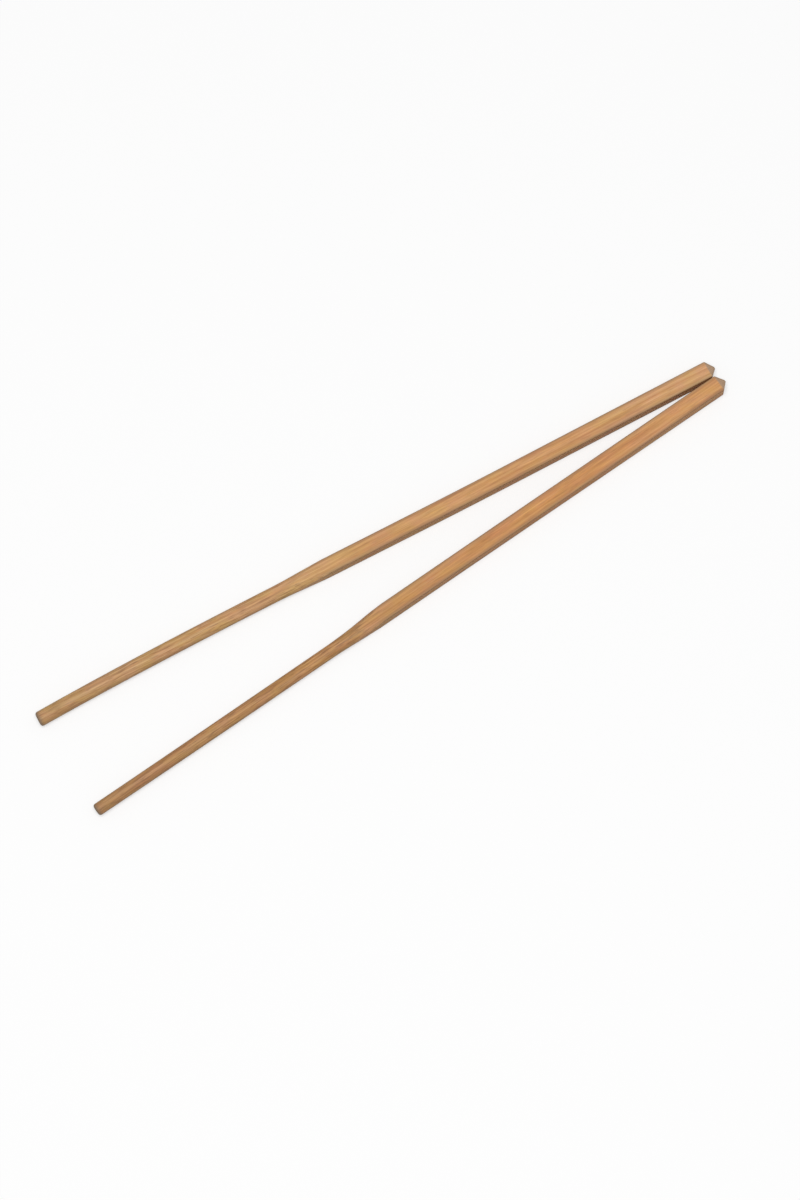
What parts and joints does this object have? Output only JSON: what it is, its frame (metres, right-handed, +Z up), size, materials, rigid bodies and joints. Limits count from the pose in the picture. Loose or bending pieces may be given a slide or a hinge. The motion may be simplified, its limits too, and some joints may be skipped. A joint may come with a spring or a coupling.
{
  "type": "pair of bamboo chopsticks",
  "caption": "Slender bamboo chopsticks with square tapered handles, blunt pointed butts and round turned eating ends, lying together in a narrow V, for picking up food.",
  "frame": {"origin": "middle of the pair's outline, on the surface that both handles lie on", "axes": "+X runs along the pair's middle line from the eating ends to the butts, +Y points to the upper stick's side, +Z is up from the surface"},
  "size_m": [0.2402, 0.0384, 0.0055],
  "materials": {
    "upper_bamboo": "matte",
    "lower_bamboo": "matte"
  },
  "bodies": {
    "root": {"upper_chopstick": "upper_bamboo", "lower_chopstick": "lower_bamboo"}
  },
  "joints": []
}
